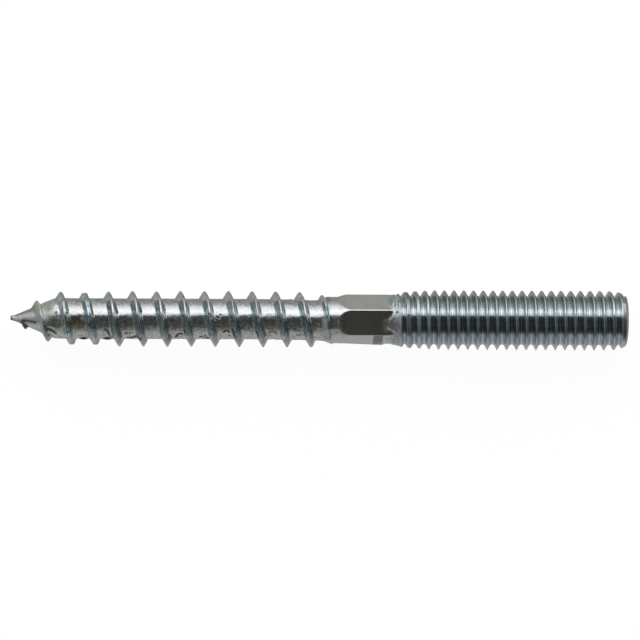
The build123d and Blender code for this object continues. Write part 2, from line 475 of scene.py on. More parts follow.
class Tree:
    """Short-hand for building a node tree."""

    def __init__(self, tree):
        self.t = tree

    def link(self, a, b):
        self.t.links.new(a, b)

    def put(self, socket, v):
        if isinstance(v, (int, float)):
            socket.default_value = v
        elif isinstance(v, tuple):
            socket.default_value = v if len(v) == len(socket.default_value) else (*v, 1)
        else:
            self.link(v, socket)

    def math(self, op, a, b=0.0, c=0.0, clamp=False):
        n = node(self.t, "ShaderNodeMath", operation=op, use_clamp=clamp)
        for i, v in enumerate((a, b, c)):
            self.put(n.inputs[i], v)
        return n.outputs[0]

    def vmath(self, op, a, b=(0.0, 0.0, 0.0)):
        n = node(self.t, "ShaderNodeVectorMath", operation=op)
        self.put(n.inputs[0], a)
        self.put(n.inputs[1], b)
        return n.outputs["Value" if op in ("LENGTH", "DOT_PRODUCT") else "Vector"]

    def ramp(self, fac, stops, interpolation="LINEAR"):
        r = ramp_node(self.t, stops, interpolation)
        self.put(r.inputs["Fac"], fac)
        return r.outputs["Color"]

    def smooth(self, v, lo, hi):
        """0 below lo, 1 above hi."""
        n = node(self.t, "ShaderNodeMapRange", interpolation_type="SMOOTHSTEP")
        self.put(n.inputs["Value"], v)
        n.inputs["From Min"].default_value = min(lo, hi)
        n.inputs["From Max"].default_value = max(lo, hi)
        n.inputs["To Min"].default_value = 0.0 if lo < hi else 1.0
        n.inputs["To Max"].default_value = 1.0 if lo < hi else 0.0
        return n.outputs["Result"]

    def mix(self, fac, a, b, blend="MIX"):
        n = node(self.t, "ShaderNodeMix", data_type="RGBA", blend_type=blend)
        self.put(n.inputs["Factor"], fac)
        self.put(n.inputs["A"] if False else n.inputs[6], a)
        self.put(n.inputs[7], b)
        return n.outputs[2]

    def noise(self, vec, scale, detail=2.0, rough=0.5, distort=0.0):
        n = node(self.t, "ShaderNodeTexNoise")
        self.link(vec, n.inputs["Vector"])
        n.inputs["Scale"].default_value = scale
        n.inputs["Detail"].default_value = detail
        n.inputs["Roughness"].default_value = rough
        n.inputs["Distortion"].default_value = distort
        return n.outputs["Fac"]

    def attr(self, name):
        n = node(self.t, "ShaderNodeAttribute", attribute_name=name)
        return n.outputs["Fac"]


# Marks on the surface, some of them painted light or shade: half width in mm,
# then a line of (s, angle from the viewer's side in degrees, radius).
# dark marks: seams, gouges and scratches, together with painted shadow lines along the point's fold and crease, and
# painted dark reflection lines along some crest flanks
DARK = [
    (0.14, [(1.60, -22.5, 0.80), (2.54, -20.0, 1.24), (3.18, -21.3, 1.52)]),
    (0.13, [(1.98, -50.0, 1.40), (2.12, -48.0, 1.44)]),
    (0.06, [(0.20, -62.0, 0.33), (0.62, -58.0, 0.42)]),
    (0.17, [(4.50, -26.0, 2.15), (4.72, -40.0, 2.3)]),
    (0.13, [(4.72, -38.9, 2.18), (5.24, -36.6, 2.42), (5.62, -40.2, 2.55), (5.80, -48.0, 2.59)]),
    (0.14, [(4.90, -58.0, 2.6)]),
    (0.11, [(8.95, -88.0, 2.66), (9.9, -88.0, 2.66)]),
    (0.11, [(11.9, -88.0, 2.66), (13.0, -88.0, 2.66)]),
    (0.11, [(12.93, -57.7, 2.8), (13.26, -69.4, 2.8)]),
    (0.16, [(15.21, -60.5, 2.8), (15.53, -61.0, 2.8), (15.86, -57.0, 2.8), (16.38, -62.0, 2.8), (16.69, -80.0, 2.66)]),
    (0.11, [(12.21, -30.7, 2.6), (12.47, -35.4, 2.6), (12.65, -44.2, 2.6), (12.78, -55.2, 2.6)]),
    (0.11, [(21.27, -64.0, 2.6), (21.48, -50.5, 2.6), (21.80, -45.0, 2.6), (22.10, -49.5, 2.6)]),
    (0.10, [(24.44, -60.1, 2.61), (24.8, -63.0, 2.61)]),
    (0.10, [(25.01, -52.8, 2.61)]),
    (0.12, [(25.19, -56.5, 2.8), (25.57, -67.7, 2.8)]),
    (0.11, [(27.37, -39.3, 2.61), (27.63, -32.7, 2.61), (27.89, -33.0, 2.61), (28.1, -38.9, 2.61)]),
    (0.10, [(28.15, -54.1, 2.61)]),
    (0.15, [(28.48, -27.6, 2.75), (28.66, -40.6, 2.75), (28.87, -59.4, 2.75)]),
    (0.11, [(31.57, -35.0, 2.75), (31.88, -56.2, 2.75)]),
    (0.08, [(33.23, -54.9, 2.61)]),
    (0.09, [(26.55, 7.1, 2.61), (26.89, 3.2, 2.61)]),
    (0.07, [(10.37, 48.2, 2.9), (10.51, 28.7, 2.9), (10.68, 9.8, 2.9)]),
    (0.10, [(13.45, 41.5, 2.9), (13.63, 26.2, 2.9), (13.78, 15.3, 2.9)]),
    (0.10, [(16.54, 42.0, 2.9), (16.87, 18.3, 2.9)]),
    (0.09, [(7.35, 14.1, 2.9)]),
    (0.09, [(49.49, 18.5, 3.2)]),
]
FAINT = [
    (0.10, [(3.52, 24.0, 2.0), (3.89, 5.0, 2.0)]),
    (0.20, [(4.22, -4.0, 2.0), (4.38, -18.0, 2.1), (4.55, -30.0, 2.2)]),
    (0.16, [(1.50, -36.0, 0.9), (1.95, -60.0, 1.3)]),
    (0.12, [(0.62, -58.0, 0.42), (1.05, -50.0, 0.60)]),
    (0.17, [(5.98, 17.2, 2.59), (6.10, -1.1, 2.59), (6.24, -23.5, 2.59)]),
    (0.16, [(6.05, 8.0, 2.59), (6.75, 4.0, 2.59)]),
    (0.10, [(14.05, -26.0, 2.8), (14.2, -40.0, 2.8), (14.32, -55.9, 2.8)]),
    (0.15, [(20.45, -45.5, 2.8), (20.60, -62.5, 2.8)]),
    (0.09, [(32.75, -34.9, 2.75), (32.83, -49.4, 2.75)]),
    (0.14, [(14.89, -46.3, 2.6), (15.41, -44.2, 2.6)]),
    (0.10, [(33.17, -42.9, 2.61), (33.46, -36.2, 2.61), (33.94, -37.6, 2.61), (34.25, -45.9, 2.61)]),
    (0.09, [(36.77, -49.3, 2.62), (37.03, -53.4, 2.62), (37.39, -46.3, 2.62)]),
    (0.12, [(26.99, 12.6, 2.61)]),
    (0.13, [(25.52, 12.5, 3.5), (25.78, 6.1, 3.5)]),
    (0.07, [(40.99, -22.3, 3.0), (41.0, -58.4, 3.0)]),
    (0.11, [(19.55, 46.0, 2.9), (19.86, 24.2, 2.9)]),
    (0.16, [(9.36, 2.2, 3.2), (10.0, 1.4, 3.2)]),
    (0.14, [(20.81, 61.0, 2.6), (21.07, 59.3, 2.6)]),
    (0.12, [(19.01, 6.9, 3.4), (19.2, -1.8, 3.4)]),
    (0.08, [(48.15, -51.1, 3.2), (48.5, -50.1, 3.2)]),
    (0.07, [(49.70, 50.0, 3.2), (49.74, 32.0, 3.2)]),
]
# painted highlights: bright, matte marks where glints and streaks of the softbox fall
PAINTED_HIGHLIGHTS = [
    (0.12, [(0.42, -0.5, 0.35), (0.9, -4.3, 0.52)]),
    (0.09, [(3.87, 24.0, 2.0), (4.1, 12.0, 2.0), (4.36, 0.0, 2.0)]),
    (0.13, [(5.02, -28.8, 2.31), (5.5, -29.5, 2.51), (5.93, -36.6, 2.59)]),
    (0.17, [(4.98, -50.0, 2.35), (5.37, -50.3, 2.48), (5.7, -59.0, 2.58)]),
    (0.20, [(2.10, -38.0, 1.05), (2.6, -44.0, 1.26)]),
    (0.36, [(2.68, -45.2, 1.30), (3.44, -42.1, 1.63)]),
    (0.10, [(5.95, 38.0, 2.6), (6.00, 26.0, 2.6), (6.12, 13.0, 2.6)]),
    (0.05, [(49.02, 42.0, 3.2), (49.08, 28.0, 3.2)]),
    (0.13, [(49.17, 26.0, 3.2), (49.21, 17.5, 3.2)]),
    (0.06, [(49.78, 42.0, 3.25), (49.82, 18.0, 3.25)]),
    (0.19, [(78.74, 36.0, 3.5), (78.78, 10.0, 3.5)]),
]
# painted sheen: lighter, duller grey bands where soft highlights fall, along the point's cone and across the collar
PALE = [
    (0.16, [(1.2, 3.0, 0.62), (2.0, 12.0, 1.01), (2.9, 12.0, 1.42)]),
    (0.30, [(4.45, 22.0, 2.2), (4.60, 2.0, 2.2)]),
    (0.13, [(48.62, 3.5, 3.1), (49.12, 10.5, 3.2), (49.75, 10.5, 3.3)]),
    (0.10, [(48.30, -20.3, 3.0), (49.1, -27.5, 3.15), (49.62, -36.0, 3.3)]),
]


LOOK = np.arange(-88.0, 88.5, 0.5)


def settle(u, v, r):
    """The place on the surface seen at the height r sin v: its angle and radius."""
    height = r * math.sin(math.radians(v)) + float(sag(np.array(u)))
    rad = radius(LOOK + 7.4, np.full(len(LOOK), u + TIP))
    miss = np.abs(rad * np.sin(np.radians(LOOK)) - height)
    near = miss < miss.min() + 0.03
    depth = np.where(near, rad * np.cos(np.radians(LOOK)), -1.0)
    i = int(np.argmax(depth - miss))
    return float(LOOK[i]), float(rad[i])


def mark_mask(k, space, groups, tip, after=None):
    """1 on the marks' lines, falling to 0 at their half widths.

    Each line waits for the one before it, so that few values are held at once."""
    total = None
    for width, points in groups:
        if (points[0][0] < 5.0) != tip:
            continue
        points = [(u, *settle(u, v, r)) for u, v, r in points]
        if tip:
            places = [(u - 55.0, r * math.sin(math.radians(v + 7.4)), r * math.cos(math.radians(v + 7.4)))
                      for u, v, r in points]
        else:
            places = [(u - (0.06 if u < 42.0 else 0.0), math.radians(v) * 2.8, 0.0) for u, v, r in points]
        if len(places) == 1:
            pairs = [(places[0], None)]
        else:
            pairs = list(zip(places, places[1:]))
        for p, q in pairs:
            wait = total if total is not None else after
            if wait is not None:
                n = node(k.t, "ShaderNodeVectorMath", operation="MULTIPLY_ADD")
                k.link(wait, n.inputs[0])
                n.inputs[1].default_value = (1e-7, 0.0, 0.0)
                k.link(space, n.inputs[2])
                off = k.vmath("SUBTRACT", n.outputs["Vector"], p)
            else:
                off = k.vmath("SUBTRACT", space, p)
            if q is not None:
                line = Vector(q) - Vector(p)
                t = k.vmath("DOT_PRODUCT", off, tuple(line / line.length_squared))
                t = k.math("ADD", t, 0.0, clamp=True)
                n = node(k.t, "ShaderNodeVectorMath", operation="MULTIPLY_ADD")
                k.link(t, n.inputs[0])
                n.inputs[1].default_value = tuple(-line)
                k.link(off, n.inputs[2])
                off = n.outputs["Vector"]
            dist = k.vmath("LENGTH", off)
            m = k.math("MULTIPLY_ADD", dist, -0.85 / (1.3 * width), 1.35, clamp=True)
            total = m if total is None else k.math("MAXIMUM", total, m)
    return total


def zinc():
    m = bpy.data.materials.new("bright_zinc")
    m.use_nodes = True
    k = Tree(m.node_tree)
    bsdf = m.node_tree.nodes["Principled BSDF"]
    tc = node(k.t, "ShaderNodeTexCoord")
    mm = k.vmath("SCALE", tc.outputs["Object"])
    mm.node.inputs["Scale"].default_value = 1000.0
    sep = node(k.t, "ShaderNodeSeparateXYZ")
    k.link(mm, sep.inputs[0])
    X, Y, Z = sep.outputs
    s_mm = k.math("ADD", X, 55.0)
    r_mm = k.math("SQRT", k.math("ADD", k.math("MULTIPLY", Y, Y), k.math("MULTIPLY", Z, Z)))
    turn = k.math("SUBTRACT", k.math("ARCTAN2", Y, Z), math.radians(7.4))
    flat_map = node(k.t, "ShaderNodeCombineXYZ")
    k.link(s_mm, flat_map.inputs[0])
    k.link(k.math("MULTIPLY", turn, 2.8), flat_map.inputs[1])
    flat_map = flat_map.outputs[0]
    degrees = k.math("MULTIPLY", turn, 180.0 / math.pi)

    def zone(v, a, b, c, d):
        return k.math("MULTIPLY", k.smooth(v, a, b), k.smooth(v, d, c))

    def inv(v):
        return k.math("SUBTRACT", 1.0, v)

    def mul(*vs):
        out = vs[0]
        for v in vs[1:]:
            out = k.math("MULTIPLY", out, v)
        return out

    def across(x0, pitch):
        """Distance in mm along the axis from the nearest crest, + towards the stud."""
        t = k.math("MULTIPLY_ADD", X, 1.0 / pitch, -x0 / pitch)
        t = k.math("ADD", t, k.math("MULTIPLY_ADD", turn, 0.5 / math.pi, 7.4 / 360.0))
        return k.math("MULTIPLY", k.math("SUBTRACT", t, k.math("ROUND", t)), pitch)

    wood_d = across(WOOD_X0, WOOD_P)
    quarter = mul(k.math("MAXIMUM", k.math("SINE", turn), 0.0), k.math("MAXIMUM", k.math("COSINE", turn), 0.0))
    metric_d = k.math("MULTIPLY_ADD", quarter, -0.15, across(METRIC_X0 - 0.01, METRIC_P))

    hexa = zone(s_mm, 42.0, 43.2, 48.2, 49.2)
    neck = zone(s_mm, 40.6, 41.2, 42.1, 42.9)
    end_face = mul(k.smooth(s_mm, 79.20, 79.25), k.smooth(r_mm, 3.06, 3.0))
    plain = k.math("ADD", k.math("ADD", hexa, neck), end_face, clamp=True)
    machine = k.smooth(s_mm, 49.8, 50.2)
    stud = mul(machine, inv(end_face))
    shank = k.math("SUBTRACT", 1.0, k.math("ADD", stud, plain, clamp=True), clamp=True)
    point = k.smooth(s_mm, 5.92, 5.45)
    tip = k.smooth(s_mm, 4.2, 3.4)
    collar = zone(s_mm, 48.9, 49.25, 49.9, 50.3)
    wood_flank = mul(zone(r_mm, 2.66, 2.86, 3.30, 3.52), shank, inv(point))
    stud_flank = mul(zone(r_mm, 3.14, 3.36, 3.66, 3.82), stud)
    wood_flank = mul(wood_flank, zone(degrees, -72.0, -56.0, 50.0, 64.0))
    flank = k.math("MAXIMUM", wood_flank, mul(stud_flank, zone(degrees, -66.0, -40.0, 44.0, 62.0), 0.12))

    broad = k.noise(mm, 0.55, 3.0, 0.55)
    mottle = k.noise(mm, 1.9, 3.0, 0.62, 0.4)
    grain = k.noise(mm, 5.0, 3.0, 0.6, 0.3)
    fine = k.noise(mm, 11.0, 2.0, 0.6)

    # colour: neutral bright zinc, a little bluer on the machine thread
    base = k.mix(stud, (0.665, 0.685, 0.690), (0.650, 0.695, 0.720))
    base = k.mix(plain, base, (0.670, 0.670, 0.655))
    tint = k.ramp(mottle, [(0.32, (0.80, 0.85, 0.85)), (0.5, (1.0, 1.0, 1.0)), (0.70, (1.05, 1.03, 1.02))])
    base = k.mix(mul(shank, 0.85), base, tint, "MULTIPLY")
    patina = k.ramp(broad, [(0.35, (0.92, 0.93, 0.92)), (0.55, (1.0, 1.0, 1.0))])
    base = k.mix(0.7, base, patina, "MULTIPLY")
    speck = k.ramp(grain, [(0.34, (0.78, 0.78, 0.76)), (0.47, (1.0, 1.0, 1.0))])
    # painted highlight: dark specks and blotches are held back in the band where the highlight falls
    highlight_band = zone(degrees, 5.0, 12.0, 36.0, 46.0)
    base = k.mix(k.math("ADD", mul(shank, k.math("MULTIPLY_ADD", highlight_band, -0.5, 0.8)), mul(collar, 0.8), clamp=True), base, speck, "MULTIPLY")
    # painted shade: the thread's flanks are darkened and tinted teal, in mottled strength
    flank_shade = k.ramp(mottle, [(0.30, (0.50, 0.60, 0.64)), (0.62, (0.86, 0.97, 1.0))])
    base = k.mix(mul(flank, 0.85), base, flank_shade, "MULTIPLY")
    # painted reflection tint: brown to olive patches, only in the band where the dark reflection falls
    dark_band_tint = k.ramp(k.noise(mm, 2.3, 2.0, 0.6, 0.2), [(0.34, (0.80, 0.70, 0.72)), (0.48, (1.0, 1.0, 1.0)), (0.60, (1.32, 1.26, 0.98))])
    dark_band = zone(degrees, -36.0, -29.0, 3.0, 9.0)
    base = k.mix(mul(k.math("MULTIPLY_ADD", hexa, -0.7, inv(machine), clamp=True), dark_band, 0.9), base, dark_band_tint, "MULTIPLY")
    # painted shade: the stud darker just below its middle, between the threads
    base = k.mix(mul(stud, zone(degrees, -38.0, -28.0, -20.0, -8.0), 0.9), base, (0.72, 0.76, 0.76), "MULTIPLY")
    base = k.mix(mul(stud, 0.75), base, k.ramp(grain, [(0.34, (0.70, 0.74, 0.72)), (0.48, (1.0, 1.0, 1.0)), (0.64, (1.10, 1.06, 1.06))]), "MULTIPLY")
    # painted shade: the stud darker at the lower edge of its highlight, and its grooves darker across the dark band;
    # the shank's dark band painted lighter
    base = k.mix(mul(stud, zone(degrees, 5.0, 10.0, 14.0, 18.0), 0.9), base, (0.82, 0.82, 0.84), "MULTIPLY")
    base = k.mix(mul(stud, zone(degrees, -34.0, -27.0, 2.0, 10.0), k.smooth(k.math("ABSOLUTE", metric_d), 0.08, 0.16), 0.9), base, (0.78, 0.78, 0.79), "MULTIPLY")
    base = k.mix(mul(shank, zone(degrees, -34.0, -27.0, 0.0, 6.0), 0.9), base, (1.17, 1.16, 1.15), "MULTIPLY")
    # blotches, and lines drawn along the thread's flanks
    blotch = k.ramp(k.noise(mm, 2.7, 3.0, 0.66, 0.5), [(0.37, (0.62, 0.65, 0.63)), (0.49, (1.0, 1.0, 1.0)), (0.62, (1.10, 1.10, 1.07))])
    base = k.mix(mul(shank, k.math("MULTIPLY_ADD", highlight_band, -0.7, 1.0)), base, blotch, "MULTIPLY")
    along = node(k.t, "ShaderNodeCombineXYZ")
    k.link(wood_d, along.inputs[0])
    k.link(k.math("MULTIPLY", turn, 0.28), along.inputs[1])
    k.link(k.math("MULTIPLY", s_mm, 0.05), along.inputs[2])
    lines = k.ramp(k.noise(along.outputs[0], 8.0, 2.0, 0.6, 0.0), [(0.36, (0.66, 0.70, 0.72)), (0.5, (1.0, 1.0, 1.0)), (0.64, (1.16, 1.15, 1.12))])
    base = k.mix(mul(wood_flank, 0.9), base, lines, "MULTIPLY")
    # painted shade: the hex's front face, which mirrors the dark, is darkened
    hex_front_shade = mul(hexa, zone(degrees, -36.5, -35.0, 20.0, 22.0))
    base = k.mix(mul(hex_front_shade, 0.9), base, (0.89, 0.89, 0.88), "MULTIPLY")
    umber = mul(zone(s_mm, 7.6, 8.0, 8.9, 9.3), zone(degrees, -27.0, -18.0, 2.0, 9.0))
    base = k.mix(mul(umber, 0.9), base, (0.98, 0.74, 0.60), "MULTIPLY")
    # painted reflection and light on the wood thread's flanks: bluer in the dark band, lighter on the first turns,
    # lighter on the near side of the crests towards the top
    base = k.mix(mul(wood_flank, zone(degrees, -34.0, -26.0, 4.0, 10.0)), base, (0.93, 1.00, 1.20), "MULTIPLY")
    base = k.mix(mul(wood_flank, zone(s_mm, 5.8, 6.2, 11.6, 12.6), zone(degrees, -76.0, -66.0, -30.0, -18.0)), base, (1.44, 1.42, 1.24), "MULTIPLY")
    base = k.mix(mul(wood_flank, zone(s_mm, 5.8, 6.2, 8.0, 9.0), zone(degrees, -30.0, -20.0, 2.0, 10.0)), base, (1.45, 1.42, 1.16), "MULTIPLY")
    near = zone(wood_d, -0.62, -0.48, -0.14, -0.04)
    base = k.mix(mul(shank, inv(point), k.smooth(r_mm, 2.68, 2.84), near, zone(degrees, 24.0, 32.0, 56.0, 68.0)), base, (1.45, 1.45, 1.42), "MULTIPLY")
    # painted shade on the far flanks of the crests towards the top and bottom outline; the crests near the top painted
    # a little lighter and greener
    high = k.smooth(r_mm, 2.72, 2.90)
    back = zone(wood_d, 0.04, 0.20, 0.60, 0.78)
    base = k.mix(mul(shank, inv(point), high, back, k.smooth(degrees, 44.0, 60.0), 0.7), base, (0.50, 0.50, 0.46), "MULTIPLY")
    base = k.mix(mul(shank, inv(point), high, back, k.smooth(degrees, -44.0, -60.0), 0.6), base, (0.60, 0.62, 0.62), "MULTIPLY")
    base = k.mix(mul(shank, inv(point), high, k.smooth(degrees, 52.0, 66.0), inv(back), 0.7), base, (1.06, 1.08, 0.98), "MULTIPLY")
    # painted shade and light on the stud's thread: grooves and flanks darker towards the top, far flanks darker towards
    # the bottom, a painted highlight on the near flanks facing the softbox, crest lines dimmed from the highlight
    # upward
    base = k.mix(mul(stud, zone(degrees, 27.0, 34.0, 62.0, 84.0), k.smooth(k.math("ABSOLUTE", k.math("ADD", metric_d, -0.03)), 0.05, 0.13), 0.92), base, (0.67, 0.71, 0.70), "MULTIPLY")
    base = k.mix(mul(stud, zone(metric_d, -0.54, -0.44, -0.22, -0.12), zone(degrees, 30.0, 40.0, 58.0, 68.0)), base, (1.30, 1.33, 1.32), "MULTIPLY")
    base = k.mix(mul(stud, k.smooth(k.math("ABSOLUTE", k.math("ADD", metric_d, -0.02)), 0.14, 0.05), k.smooth(degrees, 14.0, 24.0), 0.9), base, (0.92, 0.94, 0.91), "MULTIPLY")
    base = k.mix(mul(stud, zone(metric_d, 0.0, 0.14, 0.36, 0.48), k.smooth(degrees, 46.0, 60.0), 0.8), base, (0.60, 0.60, 0.57), "MULTIPLY")
    base = k.mix(mul(stud, zone(metric_d, -0.56, -0.44, -0.30, -0.16), k.smooth(degrees, 50.0, 62.0), 0.6), base, (0.72, 0.72, 0.70), "MULTIPLY")
    base = k.mix(mul(stud, zone(metric_d, 0.14, 0.25, 0.36, 0.48), k.smooth(degrees, -30.0, -40.0), 0.85), base, (0.58, 0.61, 0.60), "MULTIPLY")
    base = k.mix(mul(zone(s_mm, 50.5, 50.8, 51.4, 51.7), k.smooth(k.math("ABSOLUTE", metric_d), 0.28, 0.14), 0.9), base, (0.66, 0.62, 0.63), "MULTIPLY")
    base = k.mix(mul(stud, k.smooth(k.math("ABSOLUTE", metric_d), 0.40, 0.56), k.smooth(degrees, -30.0, -40.0), 0.8), base, (0.97, 0.95, 1.08), "MULTIPLY")
    base = k.mix(mul(tip, 0.9), base, (0.64, 0.65, 0.61))
    base = k.mix(mul(point, inv(tip), 0.8), base, (0.60, 0.62, 0.56))
    # painted shade: the point's cone darker on its upper side towards the outline
    upper = mul(zone(s_mm, 0.7, 1.0, 2.9, 3.2), k.smooth(degrees, 24.0, 52.0))
    base = k.mix(mul(upper, 0.9), base, (0.46, 0.47, 0.46), "MULTIPLY")
    # painted shade: the first tooth darker on its lower side
    tooth = mul(zone(s_mm, 1.05, 1.30, 2.1, 2.35), zone(degrees, -130.0, -110.0, -32.0, -22.0))
    base = k.mix(mul(tooth, 0.9), base, (0.34, 0.33, 0.28), "MULTIPLY")
    strip = mul(zone(s_mm, 2.85, 3.05, 3.35, 3.55), zone(degrees, 15.0, 30.0, 75.0, 90.0))
    base = k.mix(mul(strip, 0.8), base, (0.74, 0.80, 0.60), "MULTIPLY")
    # painted shade: the point's blunt end and its sides towards the outline darkened
    blunt = k.math("MAXIMUM", k.smooth(s_mm, 0.42, 0.15), mul(k.smooth(s_mm, 1.15, 0.85), k.smooth(k.math("ABSOLUTE", degrees), 28.0, 55.0)))
    base = k.mix(mul(blunt, 0.85), base, (0.50, 0.48, 0.45), "MULTIPLY")
    cone = zone(s_mm, 3.75, 4.05, 5.3, 5.6)
    base = k.mix(mul(cone, 0.85), base, k.ramp(k.noise(mm, 3.1, 3.0, 0.66, 0.5), [(0.36, (0.52, 0.56, 0.50)), (0.50, (0.98, 1.0, 0.95)), (0.62, (1.22, 1.22, 1.18))]), "MULTIPLY")
    shade = mul(zone(s_mm, 4.75, 5.0, 5.7, 5.95), zone(degrees, -30.0, -26.0, -12.0, 18.0))
    base = k.mix(mul(shade, 0.85), base, (0.46, 0.43, 0.40), "MULTIPLY")
    # the collar past the hex is mottled grey and streaked in rings on its upper side
    base = k.mix(mul(collar, 0.5), base, k.ramp(grain, [(0.35, (0.25, 0.25, 0.23)), (0.5, (0.62, 0.62, 0.59)), (0.62, (0.85, 0.86, 0.86))]))
    rings = node(k.t, "ShaderNodeCombineXYZ")
    k.link(s_mm, rings.inputs[0])
    k.link(k.math("MULTIPLY", turn, 0.6), rings.inputs[1])
    ringed = k.noise(rings.outputs[0], 7.0, 3.0, 0.6, 0.0)
    base = k.mix(mul(collar, k.smooth(degrees, 24.0, 34.0), 0.95), base, k.ramp(ringed, [(0.38, (0.30, 0.33, 0.30)), (0.50, (0.62, 0.66, 0.62)), (0.62, (0.95, 0.98, 0.96))]), "MULTIPLY")
    # painted shade, tinted brown, where the dark reflection falls on the hex's end and the collar
    brown = mul(zone(s_mm, 47.5, 48.3, 49.2, 49.85), zone(degrees, -33.0, -24.0, 0.0, 7.0))
    base = k.mix(mul(brown, 0.85), base, k.ramp(mottle, [(0.35, (0.150, 0.130, 0.110)), (0.62, (0.300, 0.262, 0.225))]))
    # the neck is rubbed grey below, with a few turned lines, partly painted as glints, and a speck of rust
    rubbed = mul(zone(s_mm, 39.0, 39.5, 42.05, 42.5), zone(degrees, -50.0, -40.0, -27.0, -21.0))
    base = k.mix(mul(rubbed, 0.8), base, k.ramp(mottle, [(0.35, (0.66, 0.68, 0.70)), (0.62, (0.90, 0.90, 0.88))]))
    worn = mul(zone(s_mm, 39.83, 40.03, 40.55, 40.75), zone(degrees, -32.0, -24.0, 0.0, 9.0))
    base = k.mix(mul(worn, 0.85), base, (0.62, 0.62, 0.60))
    # turned lines: darker lines and painted glints up to 2.6 times brighter, in the dark band
    turned = mul(zone(s_mm, 41.0, 41.2, 42.2, 42.45), zone(degrees, -34.0, -24.0, 2.0, 12.0))
    base = k.mix(mul(turned, 0.9), base, k.ramp(ringed, [(0.40, (0.55, 0.55, 0.53)), (0.50, (1.3, 1.3, 1.3)), (0.60, (2.6, 2.6, 2.6))]), "MULTIPLY")
    edge = mul(zone(s_mm, 41.86, 41.96, 42.04, 42.18), zone(degrees, -30.0, -24.0, 2.0, 8.0))
    base = k.mix(mul(edge, 0.18), base, (0.56, 0.56, 0.54))
    rust = mul(zone(s_mm, 39.27, 39.40, 39.52, 39.65), zone(degrees, -20.0, -16.0, -12.0, -8.0))
    base = k.mix(mul(rust, 0.9), base, (0.46, 0.34, 0.23))
    dull = k.math("MAXIMUM", k.math("MAXIMUM", mul(rubbed, 0.60), mul(worn, 0.50)), k.math("MAXIMUM", mul(edge, 0.12), mul(rust, 0.65)))
    dull = k.math("MAXIMUM", dull, mul(brown, 0.55))
    crest = mul(stud, k.smooth(k.math("ABSOLUTE", metric_d), 0.16, 0.07), zone(degrees, -40.0, -32.0, 4.0, 12.0), k.smooth(grain, 0.30, 0.50))
    dull = k.math("MAXIMUM", dull, mul(crest, 0.11))
    early = mul(zone(s_mm, 50.3, 50.6, 53.6, 54.6), k.smooth(k.math("ABSOLUTE", metric_d), 0.26, 0.12), zone(degrees, -42.0, -32.0, 20.0, 34.0))
    dull = k.math("MAXIMUM", dull, mul(early, 0.30))
    # a dark purple patch on the lower hex face
    torn = k.math("MULTIPLY_ADD", mottle, 60.0, degrees)
    purple_patch = mul(zone(s_mm, 46.46, 46.60, 47.72, 47.84), zone(torn, -74.0, -50.0, 40.0, 45.0), k.smooth(degrees, -36.5, -40.0))
    base = k.mix(mul(purple_patch, 0.85), base, k.ramp(grain, [(0.35, (0.125, 0.110, 0.165)), (0.65, (0.170, 0.148, 0.20))]))
    # the marks' edges are ragged
    jog = k.math("MULTIPLY", k.math("SUBTRACT", grain, 0.5), 0.35)
    mm_jog = k.vmath("ADD", mm, jog)
    flat_jog = k.vmath("ADD", flat_map, jog)
    dark_tip = mark_mask(k, mm_jog, DARK, True)
    dark = k.math("MAXIMUM", dark_tip, mark_mask(k, flat_jog, DARK, False, dark_tip))
    faint = mark_mask(k, flat_jog, FAINT, False, dark)
    dark = k.math("MAXIMUM", dark, mul(faint, k.smooth(grain, 0.36, 0.60)))
    # two folded welts on the lower side, each a ragged oval
    lower = k.math("MULTIPLY_ADD", degrees, 1.0 / 17.0, 81.0 / 17.0)
    lower = k.math("MULTIPLY_ADD", lower, lower, k.math("MULTIPLY_ADD", grain, 1.5, -0.75))
    folds = []
    for place, half in ((9.42, 0.52), (12.42, 0.56)):
        u = k.math("MULTIPLY_ADD", s_mm, 1.0 / half, -place / half)
        folds.append(k.math("MULTIPLY_ADD", u, u, lower))
    welt = k.smooth(k.math("MINIMUM", *folds), 1.25, 0.70)
    dark = k.math("MAXIMUM", dark, welt)
    dark = mul(dark, k.ramp(grain, [(0.30, 0.75), (0.45, 1.0)]))
    pale_tip = mark_mask(k, mm_jog, PALE, True, dark)
    pale = k.math("MAXIMUM", pale_tip, mark_mask(k, flat_jog, PALE, False, pale_tip))
    painted_highlight_tip = mark_mask(k, mm_jog, PAINTED_HIGHLIGHTS, True, pale)
    light = k.math("MAXIMUM", painted_highlight_tip, mark_mask(k, flat_jog, PAINTED_HIGHLIGHTS, False, painted_highlight_tip))
    # painted sheen from the pale marks
    base = k.mix(mul(pale, 0.7), base, (0.74, 0.735, 0.72))
    # painted highlights from the bright marks
    base = k.mix(mul(light, 0.9), base, (0.95, 0.97, 1.0))
    # dark marks, partly painted shadow and reflection lines
    base = k.mix(mul(dark, 0.96), base, (0.030, 0.034, 0.036))
    # the machine end's chamfer has browned
    rim = mul(k.smooth(s_mm, 78.50, 78.66), k.smooth(r_mm, 2.90, 2.99), zone(degrees, -50.0, -34.0, 8.0, 30.0))
    base = k.mix(mul(rim, 0.8), base, k.mix(k.smooth(s_mm, 78.92, 79.06), (0.095, 0.082, 0.050), (0.52, 0.48, 0.33)))
    k.link(base, bsdf.inputs["Base Color"])

    # dull places: the point is satin; stains, marks, painted sheen and painted highlights are not metal-bright
    metal = k.math("SUBTRACT", 1.0, mul(tip, 0.30))
    metal = k.math("SUBTRACT", metal, mul(point, inv(tip), 0.18))
    metal = k.math("SUBTRACT", metal, mul(collar, 0.35), clamp=True)
    metal = k.math("SUBTRACT", metal, dull, clamp=True)
    metal = k.math("SUBTRACT", metal, mul(rim, 0.5), clamp=True)
    metal = k.math("SUBTRACT", metal, mul(pale, 0.5), clamp=True)
    metal = k.math("MULTIPLY", metal, inv(mul(light, 0.85)))
    metal = k.math("MULTIPLY", metal, inv(mul(dark, 0.9)))
    k.link(metal, bsdf.inputs["Metallic"])

